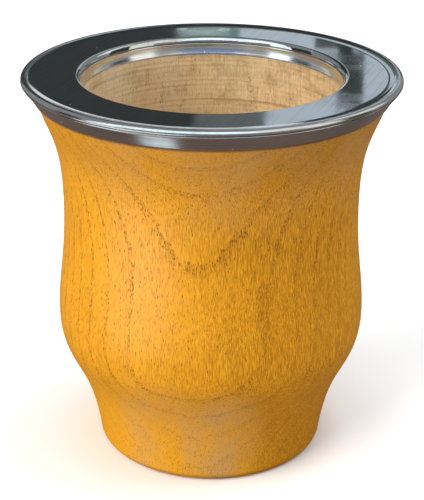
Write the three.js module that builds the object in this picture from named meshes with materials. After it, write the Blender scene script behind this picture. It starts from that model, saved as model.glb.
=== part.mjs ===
import * as THREE from "three";

// Mate cup turned from one block of wood, with a rim of pressed steel sheet round its mouth.
// Lengths are in millimetres, +Z is up, and the cup stands on Z = 0 with its axis on Z.

// Inside of the cup
const BORE_RADIUS = 30.4;
const FLOOR = 14.0;
const BOWL_ROUND_HEIGHT = 30.0;

// Outside of the cup, from the foot up, with walls measured from the bore
const FOOT_RADIUS = 28.4;
const FOOT_ROUND = 2.3;
const BELLY_WALL = 7.6;
const BELLY_RISE = 35.5;
const NECK_WALL = 5.6;
const NECK_RISE = 28.0;
const SKIRT_RISE = 27.1;
const TOP_EDGE_ROUND = 0.8;

// Reach of the tangents at the ends of the outside curves, as parts of the rise of each curve
const FOOT_TANGENT = 0.65;
const BELLY_LOWER_TANGENT = 0.38;
const BELLY_UPPER_TANGENT = 0.3;
const NECK_LOWER_TANGENT = 0.475;
const NECK_UPPER_TANGENT = 0.63;
const FLARE_TANGENT = 0.3;

// Outward lean of the cup's side at the foot and under the rim, per millimetre of rise
const FOOT_LEAN = 0.14;
const FLARE_LEAN = 0.3;

// Steel rim, with its width measured from the bore
const SHEET = 0.4;
const RIM_WIDTH = 14.6;
const CURL_BEND = 0.3;
const SKIRT_DEPTH = 4.1;
const MOUTH_SETBACK = 0.65;
const MOUTH_BEND = 0.5;
const MOUTH_LIP = 0.35;
const COLLAR_DEPTH = 3.7;

// Slopes of the rim in degrees: the skirt, the end of its curl, the plate's ramp and the collar's two edges
const SKIRT_ANGLE = 30;
const CURL_END = 45;
const RAMP_ANGLE = 16;
const COLLAR_TOP_LEAN = 2;
const COLLAR_FOOT_LEAN = 22;

// Fits and the glue bed
const HEM_CLEARANCE = 0.1;
const SKIRT_CLEARANCE = 0.1;
const COLLAR_CLEARANCE = 0.15;
const COLLAR_GAP = 0.25;
const LIP_CLEARANCE = 0.2;
const GLUE = 0.25;

// Smoothness of the turned surfaces
const SEGMENTS = 64;
const BEND_STEPS = 4;
const CURVE_STEPS = 11;

// Heights that follow from the sizes above
const neckHeight = BELLY_RISE + NECK_RISE;
const skirtEdgeHeight = neckHeight + SKIRT_RISE;
const woodTop = skirtEdgeHeight + SKIRT_DEPTH;
const glueTop = woodTop + GLUE;
const plateTop = glueTop + SHEET;
const borderTop = plateTop + SHEET;
const collarSeat = woodTop - COLLAR_DEPTH;

// Bends of the sheet, measured on its outer face
const curlRound = CURL_BEND + SHEET;
const hemRound = curlRound + SHEET;
const mouthRound = MOUTH_BEND + SHEET;

// Radii that follow from the sizes above
const bellyRadius = BORE_RADIUS + BELLY_WALL;
const neckRadius = BORE_RADIUS + NECK_WALL;
const rimRadius = BORE_RADIUS + RIM_WIDTH;
const curlRadius = rimRadius - SHEET - HEM_CLEARANCE;
const mouthLipRadius = BORE_RADIUS + MOUTH_SETBACK;
const mouthFlatRadius = mouthLipRadius + mouthRound;
const lipHoleRadius = mouthFlatRadius + LIP_CLEARANCE;
const lipEnd = plateTop - mouthRound - MOUTH_LIP;
const lipLedge = lipEnd - LIP_CLEARANCE;

function point(radius, height) {
  return new THREE.Vector2(radius, height);
}

function sine(degrees) {
  return Math.sin(THREE.MathUtils.degToRad(degrees));
}

function cosine(degrees) {
  return Math.cos(THREE.MathUtils.degToRad(degrees));
}

function tangent(degrees) {
  return Math.tan(THREE.MathUtils.degToRad(degrees));
}

// Round or oval bend about a centre, between two directions in degrees
function bend(centre, acrossRadius, upRadius, startAngle, endAngle, steps) {
  const points = [];
  for (let step = 0; step <= steps; step += 1) {
    const angle = THREE.MathUtils.lerp(startAngle, endAngle, step / steps);
    points.push(point(centre.x + acrossRadius * cosine(angle), centre.y + upRadius * sine(angle)));
  }
  return points;
}

// Smooth curve between two points, with the reach of its tangents at both ends
function curve(start, startReach, end, endReach, steps) {
  const leave = start.clone().add(startReach);
  const arrive = end.clone().sub(endReach);
  return new THREE.CubicBezierCurve(start, leave, arrive, end).getPoints(steps);
}

function withoutRepeats(points) {
  return points.filter((here, index) => index === 0 || here.distanceTo(points[index - 1]) > 1e-6);
}

// Unit vector to the left of the way from one point to the next, where the material of a sheet lies
function leftOf(from, to) {
  const along = to.clone().sub(from).normalize();
  return point(-along.y, along.x);
}

// Line moved to its left by a distance, with its corners kept sharp
function movedLeft(line, distance) {
  const sides = line.slice(1).map((next, index) => leftOf(line[index], next));
  return line.map((here, index) => {
    const before = sides[Math.max(index - 1, 0)];
    const after = sides[Math.min(index, sides.length - 1)];
    const middle = before.clone().add(after).normalize();
    return here.clone().addScaledVector(middle, distance / middle.dot(before));
  });
}

// Closed section of a piece of sheet, from the line of its visible face
function sheetSection(face) {
  const line = withoutRepeats(face);
  const back = movedLeft(line, SHEET).reverse();
  return [...line, ...back, line[0].clone()];
}

// Solid turned about the cup's axis
function turned(name, section, material) {
  const geometry = new THREE.LatheGeometry(section, SEGMENTS);
  geometry.rotateX(Math.PI / 2);
  const mesh = new THREE.Mesh(geometry, material);
  mesh.name = name;
  return mesh;
}

// Visible face of the skirt: a cone that rises from its free edge and curls in under the plate's hem
const curlCentre = point(curlRadius - curlRound, plateTop - curlRound);
const curl = bend(curlCentre, curlRound, curlRound, -SKIRT_ANGLE, CURL_END, BEND_STEPS);
const skirtTop = curl[0];
const skirtSlope = tangent(SKIRT_ANGLE);
const skirtEdge = point(skirtTop.x - (skirtTop.y - skirtEdgeHeight) * skirtSlope, skirtEdgeHeight);

// Radius of the wood behind the skirt
const woodSlopeStart = movedLeft([skirtEdge, skirtTop], SHEET + SKIRT_CLEARANCE)[0];

function woodRadiusAt(height) {
  return woodSlopeStart.x + (height - woodSlopeStart.y) * skirtSlope;
}

const topEdgeStart = woodTop - TOP_EDGE_ROUND;
const topEdgeRadius = woodRadiusAt(topEdgeStart) - TOP_EDGE_ROUND;

// Visible face of the collar: a shallow cove that faces up into the mouth and closes to the bore at its foot
const collarTop = lipEnd - COLLAR_GAP;
const collarFoot = collarSeat + SHEET * sine(COLLAR_FOOT_LEAN);
const coveRound = (collarTop - collarFoot) / (sine(COLLAR_FOOT_LEAN) - sine(COLLAR_TOP_LEAN));
const coveCentre = point(
  BORE_RADIUS - coveRound * cosine(COLLAR_FOOT_LEAN),
  collarFoot + coveRound * sine(COLLAR_FOOT_LEAN),
);

// Recess that the collar stands in, cut to the same cove
const recessRound = coveRound + SHEET + COLLAR_CLEARANCE;

function recessAngle(height) {
  return THREE.MathUtils.radToDeg(Math.asin((height - coveCentre.y) / recessRound));
}

function cupSection() {
  const footCentre = point(FOOT_RADIUS - FOOT_ROUND, FOOT_ROUND);
  const footTop = point(FOOT_RADIUS, FOOT_ROUND);
  const belly = point(bellyRadius, BELLY_RISE);
  const neck = point(neckRadius, neckHeight);
  const flareTop = point(woodRadiusAt(skirtEdgeHeight), skirtEdgeHeight);
  const topEdgeCentre = point(topEdgeRadius, topEdgeStart);
  const bowlCentre = point(0, FLOOR + BOWL_ROUND_HEIGHT);

  const footRise = BELLY_RISE - FOOT_ROUND;
  const footReach = point(footRise * FOOT_TANGENT * FOOT_LEAN, footRise * FOOT_TANGENT);
  const bellyLowerReach = point(0, footRise * BELLY_LOWER_TANGENT);
  const bellyUpperReach = point(0, NECK_RISE * BELLY_UPPER_TANGENT);
  const neckLowerReach = point(0, NECK_RISE * NECK_LOWER_TANGENT);
  const neckUpperReach = point(0, SKIRT_RISE * NECK_UPPER_TANGENT);
  const flareReach = point(SKIRT_RISE * FLARE_TANGENT * FLARE_LEAN, SKIRT_RISE * FLARE_TANGENT);
  const recessTop = recessAngle(lipLedge);
  const recessFoot = recessAngle(collarSeat);

  return withoutRepeats([
    point(0, 0),
    ...bend(footCentre, FOOT_ROUND, FOOT_ROUND, -90, 0, BEND_STEPS),
    ...curve(footTop, footReach, belly, bellyLowerReach, CURVE_STEPS),
    ...curve(belly, bellyUpperReach, neck, neckLowerReach, CURVE_STEPS),
    ...curve(neck, neckUpperReach, flareTop, flareReach, CURVE_STEPS),
    ...bend(topEdgeCentre, TOP_EDGE_ROUND, TOP_EDGE_ROUND, 0, 90, BEND_STEPS),
    point(lipHoleRadius, woodTop),
    point(lipHoleRadius, lipLedge),
    ...bend(coveCentre, recessRound, recessRound, recessTop, recessFoot, BEND_STEPS),
    point(BORE_RADIUS, collarSeat),
    ...bend(bowlCentre, BORE_RADIUS, BOWL_ROUND_HEIGHT, 0, -90, CURVE_STEPS).slice(0, -1),
    point(0, FLOOR),
  ]);
}

// The plate's edge rolls up out of a hollow ramp and round the skirt's curl
function plateSection() {
  const hemCentre = point(rimRadius - hemRound, borderTop - hemRound);
  const mouthCentre = point(mouthFlatRadius, plateTop - mouthRound);
  const hem = bend(hemCentre, hemRound, hemRound, -SKIRT_ANGLE, 90, BEND_STEPS);
  const rampTop = bend(hemCentre, hemRound, hemRound, 90, 90 + RAMP_ANGLE, 1)[1];
  const rampDrop = rampTop.y - plateTop;
  const rampWidth = (2 * rampDrop) / tangent(RAMP_ANGLE);
  const rampFoot = point(rampTop.x - rampWidth, plateTop);
  const rampTopReach = point(-rampWidth / 3, (-2 * rampDrop) / 3);
  const rampFootReach = point(-rampWidth / 3, 0);
  return sheetSection([
    ...hem,
    ...curve(rampTop, rampTopReach, rampFoot, rampFootReach, BEND_STEPS),
    ...bend(mouthCentre, mouthRound, mouthRound, 90, 180, BEND_STEPS),
    point(mouthLipRadius, lipEnd),
  ]);
}

function skirtSection() {
  return sheetSection([skirtEdge, ...curl]);
}

function collarSection() {
  const face = bend(coveCentre, coveRound, coveRound, -COLLAR_TOP_LEAN, -COLLAR_FOOT_LEAN, BEND_STEPS);
  return sheetSection(face);
}

function glueSection() {
  return [
    point(lipHoleRadius, woodTop),
    point(topEdgeRadius, woodTop),
    point(topEdgeRadius, glueTop),
    point(lipHoleRadius, glueTop),
    point(lipHoleRadius, woodTop),
  ];
}

const wood = new THREE.MeshStandardMaterial({ color: 0xd8963a, roughness: 0.45, metalness: 0 });
const steel = new THREE.MeshStandardMaterial({ color: 0xc4c8ca, roughness: 0.16, metalness: 1 });
const adhesive = new THREE.MeshStandardMaterial({ color: 0xd9cfae, roughness: 0.4, metalness: 0 });

const cup = new THREE.Group();
cup.name = "mate_cup";
cup.add(turned("wooden_cup", cupSection(), wood));
cup.add(turned("sealing_glue", glueSection(), adhesive));
cup.add(turned("outer_skirt", skirtSection(), steel));
cup.add(turned("inner_collar", collarSection(), steel));
cup.add(turned("rim_plate", plateSection(), steel));

export default cup;
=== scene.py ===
import math
from typing import NamedTuple

import bpy
from bpy.props import FloatProperty, FloatVectorProperty, IntProperty, PointerProperty
from mathutils import Matrix, Vector


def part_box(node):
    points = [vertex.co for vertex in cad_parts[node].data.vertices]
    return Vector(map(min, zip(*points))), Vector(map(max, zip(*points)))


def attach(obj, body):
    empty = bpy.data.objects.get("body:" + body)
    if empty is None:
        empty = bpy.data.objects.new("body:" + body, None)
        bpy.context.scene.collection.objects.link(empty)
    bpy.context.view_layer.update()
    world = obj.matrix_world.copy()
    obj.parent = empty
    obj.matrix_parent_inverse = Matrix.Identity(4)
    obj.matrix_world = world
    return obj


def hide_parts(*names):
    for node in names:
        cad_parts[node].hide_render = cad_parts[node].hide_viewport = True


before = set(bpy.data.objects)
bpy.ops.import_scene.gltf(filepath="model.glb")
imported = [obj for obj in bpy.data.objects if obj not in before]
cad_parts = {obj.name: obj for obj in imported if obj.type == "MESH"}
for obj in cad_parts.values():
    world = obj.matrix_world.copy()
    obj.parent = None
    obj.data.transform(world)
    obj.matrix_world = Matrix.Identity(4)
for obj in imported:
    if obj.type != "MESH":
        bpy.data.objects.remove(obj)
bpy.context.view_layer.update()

bl_info = {
    "name": "Wooden mate cup",
    "version": (1, 0, 0),
    "blender": (4, 5, 0),
    "location": "View3D > Sidebar > Mate cup",
    "description": "Models a turned wooden mate cup with a pressed steel rim",
    "category": "Object",
}

BODY = "root"
MILLIMETRE = 0.001
UP = math.pi / 2

# Camera: the picture that it is matched to, in its own pixels, the long side of the sensor in millimetres,
# and the nearest distance that it shows in metres
PICTURE_HEIGHT = 500.0
FOCAL_PIXELS = 1405.3
SHIFT_PIXELS = 1.0
SENSOR = 36.0
CLIP_START = 0.01

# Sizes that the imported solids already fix
cup_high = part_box("wooden_cup")[1]
plate_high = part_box("rim_plate")[1]
skirt_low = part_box("outer_skirt")[0]


def length(name, description, millimetres):
    """Property for a length, whose default is given in millimetres."""
    return FloatProperty(
        name=name,
        description=description,
        default=millimetres * MILLIMETRE,
        min=0.0,
        precision=5,
        subtype="DISTANCE",
        unit="LENGTH",
    )


def fixed_length(name, description, metres):
    """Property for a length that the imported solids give, in metres."""
    return length(name, description, metres / MILLIMETRE)


def angle(name, description, degrees):
    """Property for an angle, whose default is given in degrees."""
    return FloatProperty(
        name=name,
        description=description,
        default=math.radians(degrees),
        subtype="ANGLE",
        unit="ROTATION",
    )


def colour(name, description, red, green, blue):
    """Property for a colour, in linear light."""
    return FloatVectorProperty(
        name=name,
        description=description,
        default=(red, green, blue),
        size=3,
        min=0.0,
        max=1.0,
        subtype="COLOR",
    )


def share(name, description, default, highest=1.0):
    """Property for a plain number from nothing to its highest value."""
    return FloatProperty(name=name, description=description, default=default, min=0.0, max=highest)


class CupSizes(bpy.types.PropertyGroup):
    """Sizes of the turned cup and its steel rim."""

    foot_radius: length("Foot radius", "Radius of the foot above its rounded edge", 28.4)
    foot_round: length("Foot round", "Radius of the rounded edge under the foot", 2.3)
    belly_radius: length("Belly radius", "Largest radius of the belly", 38.0)
    belly_height: length("Belly height", "Height of the widest part of the belly", 35.5)
    neck_radius: length("Neck radius", "Smallest radius of the neck", 36.0)
    neck_height: length("Neck height", "Height of the narrowest part of the neck", 63.5)
    floor_height: length("Floor height", "Thickness of the wood under the bowl", 14.0)
    bowl_round: length("Bowl round", "Height of the rounded bottom of the bowl", 30.0)
    top_edge_round: length("Top edge round", "Round of the wood's top edge under the rim", 0.8)
    wood_top: fixed_length("Wood top", "Height of the wood's top face", cup_high.z)
    sheet: length("Sheet", "Thickness of the steel sheet", 0.4)
    rim_radius: fixed_length("Rim radius", "Largest radius of the rim", plate_high.x)
    border_top: fixed_length("Border top", "Height of the rim's raised border", plate_high.z)
    ramp_angle: angle("Ramp angle", "Slope where the plate's ramp meets the rolled hem", 16.0)
    skirt_angle: angle("Skirt angle", "Outward lean of the skirt", 30.0)
    skirt_edge: fixed_length("Skirt edge", "Height of the skirt's free edge", skirt_low.z)
    hem_end: angle("Hem end", "How far the rolled hem turns under", 10.0)
    roll_radius: length("Roll radius", "Radius of the fine roll in the skirt under the hem", 0.32)
    roll_drop: length("Roll drop", "Distance of the roll below the skirt's curl", 0.4)
    curl_bend: length("Curl bend", "Inside bend of the skirt's curled top", 0.3)
    curl_end: angle("Curl end", "Direction in which the skirt's curl ends", 45.0)
    hem_clearance: length("Hem clearance", "Room between the hem and the skirt", 0.1)
    skirt_clearance: length("Skirt clearance", "Room between the skirt and the wood", 0.1)
    bore_radius: length("Bore radius", "Radius of the bore and of the collar's foot", 30.4)
    mouth_setback: length("Mouth setback", "How far the plate's lip stands back from the bore", 0.65)
    mouth_bend: length("Mouth bend", "Inside bend of the plate round the mouth", 0.5)
    mouth_turn: angle("Mouth turn", "How far the plate bends down round the mouth", 66.0)
    mouth_lip: length("Mouth lip", "Length of the plate's lip below its bend", 0.35)
    lip_clearance: length("Lip clearance", "Room for the plate's lip in the wood", 0.2)
    collar_depth: length("Collar depth", "Depth of the collar's seat below the wood's top", 3.7)
    collar_gap: length("Collar gap", "Gap between the collar and the lip above it", 0.25)
    collar_clearance: length("Collar clearance", "Room between the collar and the wood", 0.15)
    collar_top_lean: angle("Collar top lean", "Lean of the collar at its top edge", 2.0)
    collar_foot_lean: angle("Collar foot lean", "Lean of the collar at its lower edge", 22.0)
    turning_pitch: length("Turning pitch", "Spacing of the tool lines in the bore", 1.3)
    turning_depth: length("Turning depth", "Depth of the tool lines in the bore", 0.035)
    edge_hold: length("Edge hold", "Distance from an edge at which a flat is held true", 0.12)
    edge_wear: length("Edge wear", "Round on the cut edges of the sheet", 0.08)
    turns: IntProperty(name="Turns", description="Steps round the axis", default=256, min=32)


class CupFinishes(bpy.types.PropertyGroup):
    """Colours and gloss of the wood, the steel and the glue."""

    wood_light: colour("Oiled wood, light", "Light parts of the oiled wood", 0.9, 0.412, 0.015)
    wood_dark: colour("Oiled wood, dark", "Dark parts of the oiled wood", 0.5, 0.195, 0.006)
    wood_pore: colour("Oiled wood, pores", "Pores of the oiled wood", 0.12, 0.042, 0.003)
    # Painted sheen: a paler, greyer tan that stands in for reflected light on the oiled wood, in cloudy
    # patches below the rim and on the foot
    wood_sheen: colour("Oiled wood, dry", "Wood that took up less of the oil", 0.74, 0.41, 0.118)
    bare_light: colour("Bare wood, light", "Light parts of the bare wood", 0.72, 0.52, 0.285)
    bare_dark: colour("Bare wood, dark", "Dark parts of the bare wood", 0.43, 0.28, 0.137)
    # Painted light: a paler tan that lightens the bare inside at the top of its left wall and on its floor
    bare_painted_light: colour("Bare wood, pale", "Bare wood bleached round the mouth", 0.86, 0.74, 0.51)
    bare_pore: colour("Bare wood, pores", "Pores of the bare wood", 0.3, 0.18, 0.09)
    oil_roughness: share("Oil roughness", "Roughness of the oiled outside", 0.36)
    bare_roughness: share("Bare roughness", "Roughness of the bare inside", 0.75)
    ring_width: length("Ring width", "Spacing of the growth rings", 3.0)
    steel_light: colour("Steel, light", "Clean polished steel", 0.52, 0.54, 0.55)
    steel_dark: colour("Steel, dark", "Rubbed and dulled steel", 0.35, 0.36, 0.37)
    # Painted light: the collar's steel is a lighter copy of the plate's steel, so that its reflections in
    # the mouth look brighter
    brightened_collar_light: colour("Collar, light", "Clean steel of the collar", 0.74, 0.75, 0.74)
    brightened_collar_dark: colour("Collar, dark", "Rubbed and dulled steel of the collar", 0.52, 0.52, 0.51)
    steel_roughness: share("Steel roughness", "Roughness of the polished steel", 0.05)
    rolled_roughness: share("Rolled roughness", "Roughness that rolling adds to the steel", 0.12)
    dust: colour("Dust", "Specks of dust on the steel", 0.8, 0.8, 0.78)
    glue_clear: colour("Glue, clear", "Clear parts of the cured glue", 0.7, 0.6, 0.36)
    glue_cloudy: colour("Glue, cloudy", "Cloudy parts of the cured glue", 0.82, 0.76, 0.6)


class StageSettings(bpy.types.PropertyGroup):
    """Camera, lamps and floor."""

    camera_distance: length("Camera distance", "Distance from the camera to its aim", 350.0)
    camera_aim: length("Camera aim", "Height that the camera aims at", 49.42)
    camera_tilt: angle("Camera tilt", "How far the camera looks down", 23.52)
    camera_roll: angle("Camera roll", "How far the camera leans to its left", 0.34)
    focal_length: FloatProperty(
        name="Focal length",
        description="Focal length in millimetres on a sensor 36 mm along its long side",
        default=SENSOR * FOCAL_PIXELS / PICTURE_HEIGHT,
    )
    floor_colour: colour("Floor colour", "Colour that the floor shows", 0.93, 0.93, 0.93)
    bounce_colour: colour("Bounce colour", "Colour of the light off the floor", 0.43, 0.38, 0.34)
    table_colour: colour("Table colour", "Colour of the table in the steel", 0.118, 0.078, 0.064)
    sky_colour: colour("Sky colour", "Colour of the light from all round", 0.95, 0.975, 1.0)
    sky_strength: share("Sky strength", "Strength of the light from all round", 0.38, 10.0)
    key_power: share("Key power", "Power of the large lamp at the left, in watts", 84.0, 1000.0)
    fill_power: share("Fill power", "Power of the lamp at the right, in watts", 13.0, 1000.0)
    top_power: share("Top power", "Power of the lamp above, in watts", 30.0, 1000.0)
    gloss_power: share("Gloss power", "Power of the small lamp for gloss, in watts", 0.008, 1000.0)
    gloss_spread: angle("Gloss spread", "How far the small lamp's light spreads", 24.0)


def operation(kind, reflected=False):
    """Method that adds a Math node for an operator, or for its reflected form."""

    def calculate(value, other):
        first, second = (other, value) if reflected else (value, other)
        return value.finish.node("ShaderNodeMath", {"operation": kind}, {0: first, 1: second})

    return calculate


class Value:
    """Number or colour that changes over a surface, for expressions of shader maths."""

    def __init__(self, finish, socket):
        self.finish = finish
        self.socket = socket

    __add__ = operation("ADD")
    __radd__ = operation("ADD", reflected=True)
    __sub__ = operation("SUBTRACT")
    __rsub__ = operation("SUBTRACT", reflected=True)
    __mul__ = operation("MULTIPLY")
    __rmul__ = operation("MULTIPLY", reflected=True)
    __truediv__ = operation("DIVIDE")
    __rtruediv__ = operation("DIVIDE", reflected=True)
    __pow__ = operation("POWER")
    __rpow__ = operation("POWER", reflected=True)
    __mod__ = operation("FLOORED_MODULO")
    __rmod__ = operation("FLOORED_MODULO", reflected=True)
    __lt__ = operation("LESS_THAN")
    __gt__ = operation("LESS_THAN", reflected=True)

    def part(self, output):
        """Another output of the same node."""
        return Value(self.finish, self.socket.node.outputs[output])


class Finish:
    """Material made of nodes, with the node maker that every pattern uses."""

    def __init__(self, name):
        self.material = bpy.data.materials.new(name)
        self.material.use_nodes = True
        self.tree = self.material.node_tree
        self.tree.nodes.clear()
        self.output = self.tree.nodes.new("ShaderNodeOutputMaterial")

    def node(self, kind, settings=None, inputs=None, output=0):
        """Node of a type, with its settings made first and then its sockets' values or links."""
        made = self.tree.nodes.new(kind)
        for key, setting in (settings or {}).items():
            setattr(made, key, setting)
        for key, given in (inputs or {}).items():
            if isinstance(given, Value):
                self.tree.links.new(given.socket, made.inputs[key])
            else:
                made.inputs[key].default_value = given
        return Value(self, made.outputs[output])

    def place(self):
        """Position on the piece, in millimetres."""
        metres = self.node("ShaderNodeTexCoord", output="Object")
        return self.stretch(metres, (1 / MILLIMETRE,) * 3)

    def stretch(self, vector, scale):
        """Vector with a scale of its own along each axis."""
        return self.node("ShaderNodeMapping", {}, {"Vector": vector, "Scale": scale})

    def axes(self, vector):
        """The three numbers of a vector."""
        x = self.node("ShaderNodeSeparateXYZ", {}, {"Vector": vector}, "X")
        return x, x.part("Y"), x.part("Z")

    def vector(self, x, y, z):
        """Vector of three numbers."""
        return self.node("ShaderNodeCombineXYZ", {}, {"X": x, "Y": y, "Z": z})

    def noise(self, vector, scale, detail=2.0, roughness=0.5):
        """Cloudy pattern from 0 to 1, as fine along each axis as its scale says."""
        placed = self.stretch(vector, scale)
        inputs = {"Vector": placed, "Scale": 1.0, "Detail": detail, "Roughness": roughness}
        return self.node("ShaderNodeTexNoise", {}, inputs)

    def cells(self, vector, scale):
        """Distance to the nearest of many scattered points, and a random number for each point."""
        placed = self.stretch(vector, scale)
        distance = self.node("ShaderNodeTexVoronoi", {}, {"Vector": placed, "Scale": 1.0}, "Distance")
        chance = self.axes(distance.part("Color"))[0]
        return distance, chance

    def rise(self, value, low, high):
        """Smooth step from 0 to 1 between two values."""
        inputs = {"Value": value, "From Min": low, "From Max": high}
        return self.node("ShaderNodeMapRange", {"interpolation_type": "SMOOTHSTEP"}, inputs)

    def blend(self, factor, first, second):
        """Colour between two colours."""
        inputs = {"Factor": factor, 6: opaque(first), 7: opaque(second)}
        return self.node("ShaderNodeMix", {"data_type": "RGBA"}, inputs, 2)

    def bump(self, height, distance, below=None):
        """Normal of a surface whose height changes by up to a distance."""
        inputs = {"Height": height, "Strength": 1.0, "Distance": distance}
        if below is not None:
            inputs["Normal"] = below
        return self.node("ShaderNodeBump", {}, inputs)

    def surface(self, inputs):
        """The finished material, with its shader's sockets."""
        shader = self.node("ShaderNodeBsdfPrincipled", {}, inputs)
        self.tree.links.new(shader.socket, self.output.inputs["Surface"])
        return self.material


def opaque(tint):
    """Colour with full opacity, unless it is a value that changes over the surface."""
    return tint if isinstance(tint, Value) else (*tint, 1.0)


# Growth rings in millimetres: a point on their centre line, its lean for each millimetre of height, the
# distance from it at which a line of pores runs, and how far a slow waver and a fine ripple move the rings
RING_CENTRE = Vector((11.9, 170.0, 60.0))
RING_LEAN = Vector((-0.08, 0.092, 1.0))
RING_START = 206.5
WAVER_REACH = 0.9
RIPPLE_REACH = 0.7

# Bulge of the rings in the belly: its ends in height, and the squares of its half width
BULGE_LOW = (14.0, 26.0)
BULGE_HIGH = (63.0, 53.0)
BULGE_WIDTH = (260.0, 40.0)

# How fine the patterns of the wood are along x, y and z, in repeats for each millimetre
WAVER_SCALE = (0.05, 0.05, 0.018)
RIPPLE_SCALE = (0.6, 0.6, 0.2)
FIBRE_SCALE = (7.0, 7.0, 0.36)
STREAK_SCALE = (2.0, 2.0, 0.08)
CLOUD_SCALE = (0.07, 0.07, 0.04)
TOOL_MARK_SCALE = (0.01, 0.01, 0.75)
STAIN_SCALE = (0.13, 0.13, 0.2)
VESSEL_SCALE = (4.6, 4.6, 1.15)
PINHOLE_SCALE = (5.4, 5.4, 0.5)

# Parts of one year's growth: where the early wood fades out, and where the late wood comes in
EARLY_GROWTH = (0.32, 0.0)
LATE_GROWTH = (0.6, 0.98)

# Contrast of the patterns: the values at which each one begins and is complete
FIBRE_CONTRAST = (0.34, 0.66)
CLOUD_CONTRAST = (0.25, 0.75)
TOOL_MARK_CONTRAST = (0.5, 0.72)
STAIN_CONTRAST = (0.42, 0.68)
TONE_CONTRAST = (0.4, 1.25)
VESSEL_EDGE = (0.5, 0.28)
PINHOLE_EDGE = (0.5, 0.2)

# Zones of the wood in millimetres: where each one begins and is complete. The zones on the foot, near the
# top and on the inside's left take painted light and painted sheen, and the zone at the right deepens the
# painted shade under the rim
LIT_FOOT_HEIGHT = (28.0, 14.0)
LIT_PATCH_FOOT_HEIGHT = (33.0, 19.0)
LIT_PATCH_FOOT_LEFT = (-25.0, -13.0)
FOOT_RIGHT = (16.0, 2.0)
LIT_TOP_HEIGHT = (62.0, 90.0)
COARSE_SIDE = (-25.0, 25.0)
LIT_INSIDE_SIDE = (8.0, -26.0)
OPEN_LOW = (10.0, 34.0)
OPEN_HIGH = (94.0, 70.0)
CLOSED_SIDE = (2.0, 14.0)
CLOSED_HEIGHT = (60.0, 50.0)
SHADE_SIDE = (4.0, 24.0)
OUTSIDE_SQUARED = (33.0 ** 2, 35.0 ** 2)

# Painted shadow under the rim: a dark line on the wood under the skirt's edge, and painted shade on the wood
# below it
EDGE_LINE = skirt_low.z / MILLIMETRE
SHADOW_LINE = (EDGE_LINE - 1.0, EDGE_LINE - 0.45)
SHADE_HEIGHT = (EDGE_LINE - 18.0, EDGE_LINE - 2.0)

# Share of each pattern in the wood's tone, and of the painted light that lightens it on the foot and on the
# inside's left
FIBRE_SHARE = 0.5
COARSE_SHARE = 0.35
TURNED_FIBRE_LOSS = 0.55
STREAK_SHARE = 0.4
CLOUD_SHARE = 0.45
EARLY_SHARE = 0.1
TOOL_MARK_SHARE = 0.75
STAIN_SHARE = 0.6
LIT_FOOT_SHARE = 0.6
LIT_INSIDE_SHARE = 0.3

# Shares of the pores: how many vessels the early wood and the rest have, how many pinholes there are and how
# many the late wood lacks, and how far the middle of the cup is open and its lower right closed
EARLY_VESSELS = 0.56
OTHER_VESSELS = 0.03
PINHOLES = 0.34
LATE_PINHOLES_LOST = 0.22
PINHOLE_SHARE = 0.45
OPEN_SHARE = 0.6
CLOSED_SHARE = 0.55

# Shares of the patches of painted sheen and painted light, and of the painted shadow under the rim
LIT_TOP_SHARE = 0.85
LIT_PATCH_FOOT_SHARE = 1.2
# Painted shadow under the rim: the share of its dark line, and of the thinner shade below it with its extra
# at the right
SHADOW_LINE_SHARE = 0.85
SHADE_SHARE = 0.15
SHADE_RIGHT_SHARE = 0.2
PORE_STAIN = 0.9
# Strength of the painted shadow under the rim where there are no pores
SHADOW_STRENGTH = 0.7

# Gloss and relief of the wood
PORE_ROUGHNESS = 0.2
CLOUD_ROUGHNESS = 0.16
FIBRE_RELIEF = 0.6
WOOD_RELIEF = 0.09 * MILLIMETRE
OIL_REFLECTION = 0.16


class Wood(NamedTuple):
    """Colours and gloss of one side of the wood, how much the tool marked it, and on which side its painted
    light and sheen lie.
    """

    light: tuple
    dark: tuple
    pore: tuple
    painted_light: tuple
    roughness: float
    turning: float
    painted_light_side: tuple


def growth_rings(finish, place, ring_width):
    """How far a point lies from the last line of pores, from 0 to 1 across one year's growth."""
    x, y, z = finish.axes(place)
    height = z - RING_CENTRE.z
    across = x - RING_CENTRE.x - height * RING_LEAN.x
    depth = y - RING_CENTRE.y - height * RING_LEAN.y
    distance = (across * across + depth * depth) ** 0.5
    waver = finish.noise(place, WAVER_SCALE) - 0.5
    ripple = finish.noise(place, RIPPLE_SCALE) - 0.5
    bulge = finish.rise(z, *BULGE_HIGH) * finish.rise(z, *BULGE_LOW) * finish.rise(x * x, *BULGE_WIDTH)
    growth = RING_START - distance + waver * WAVER_REACH + ripple * RIPPLE_REACH + bulge
    return growth / (ring_width / MILLIMETRE) % 1.0


class Grain:
    """Patterns that run through the wood, and the place of a point in it."""

    def __init__(self, finish, ring_width):
        place = finish.place()
        growth = growth_rings(finish, place, ring_width)
        self.x, self.y, self.z = finish.axes(place)
        self.early = finish.rise(growth, *EARLY_GROWTH)
        self.late = finish.rise(growth, *LATE_GROWTH)
        self.fibres = finish.noise(place, FIBRE_SCALE, detail=3.0, roughness=0.7)
        self.streaks = finish.noise(place, STREAK_SCALE, detail=3.0, roughness=0.65)
        self.clouds = finish.noise(place, CLOUD_SCALE, detail=3.0, roughness=0.6)
        self.tool_marks = finish.noise(place, TOOL_MARK_SCALE, detail=3.0, roughness=0.6)
        self.stains = finish.noise(place, STAIN_SCALE, detail=4.0, roughness=0.68)
        self.vessel, self.vessel_chance = finish.cells(place, VESSEL_SCALE)
        self.pinhole, self.pinhole_chance = finish.cells(place, PINHOLE_SCALE)


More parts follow.
